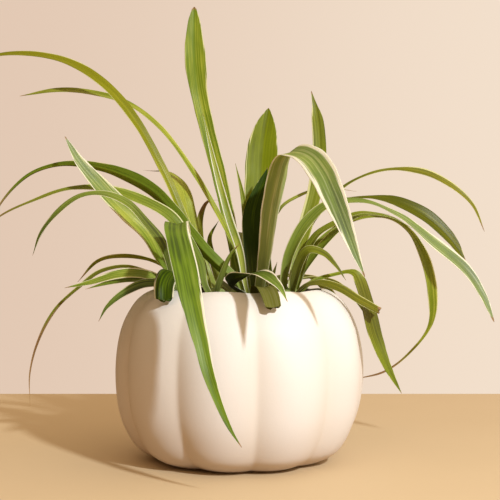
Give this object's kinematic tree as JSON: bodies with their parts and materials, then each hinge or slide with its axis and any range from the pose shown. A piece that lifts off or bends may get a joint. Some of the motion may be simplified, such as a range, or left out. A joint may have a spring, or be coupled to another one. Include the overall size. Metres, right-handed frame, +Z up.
{
  "type": "potted spider plant",
  "caption": "Spider plant with long arching striped leaves, growing in soil in a round ribbed ceramic pot.",
  "frame": {"origin": "centre of the pot's flat foot, on the surface that it stands on", "axes": "+Z up out of the pot; -Y is the front, where one leaf hangs over the rim; +X is to the right seen from the front"},
  "size_m": [0.3429, 0.2662, 0.279],
  "materials": {
    "pot_ceramic": "matte ivory glaze",
    "potting_soil": "loose, moist",
    "leaf_base": "pale, satin",
    "leaf": "satin, cream margins"
  },
  "bodies": {
    "root": {"crown_back": "leaf_base", "crown_inner_left": "leaf_base", "crown_left": "leaf_base", "crown_middle": "leaf_base", "crown_right": "leaf_base", "leaf_arch_front_left": "leaf", "leaf_arch_left_lower": "leaf", "leaf_arch_left_upper": "leaf", "leaf_arch_right_back": "leaf", "leaf_back_arch_high": "leaf", "leaf_back_arch_left": "leaf", "leaf_back_arch_right": "leaf", "leaf_back_behind_tall": "leaf", "leaf_back_droop_left": "leaf", "leaf_back_droop_middle": "leaf", "leaf_back_droop_right": "leaf", "leaf_back_low_left": "leaf", "leaf_back_low_right": "leaf", "leaf_broad_upright": "leaf", "leaf_clipped_at_front": "leaf", "leaf_clipped_over_rim": "leaf", "leaf_clipped_right": "leaf", "leaf_dark_arch_right": "leaf", "leaf_dark_upright": "leaf", "leaf_great_arch": "leaf", "leaf_hanging_loop_right": "leaf", "leaf_hanging_over_front": "leaf", "leaf_high_arch_left": "leaf", "leaf_kinked_right": "leaf", "leaf_long_arch_right": "leaf", "leaf_low_arch_right": "leaf", "leaf_low_left_back": "leaf", "leaf_low_left_curl": "leaf", "leaf_low_left_dark": "leaf", "leaf_low_left_light": "leaf", "leaf_narrow_upright": "leaf", "leaf_over_front_rim": "leaf", "leaf_pointing_up_left": "leaf", "leaf_short_arch_right": "leaf", "leaf_short_dry_tip": "leaf", "leaf_slim_arch_right": "leaf", "leaf_slim_upright": "leaf", "leaf_tall_upright": "leaf", "leaf_thin_arch_left": "leaf", "leaf_thin_arch_right": "leaf", "leaf_trailing_left": "leaf", "leaf_upright_right": "leaf", "leaf_wide_arch_back": "leaf", "leaf_young_back": "leaf", "leaf_young_front": "leaf", "leaf_young_middle": "leaf", "pot": "pot_ceramic", "soil": "potting_soil"}
  },
  "joints": []
}
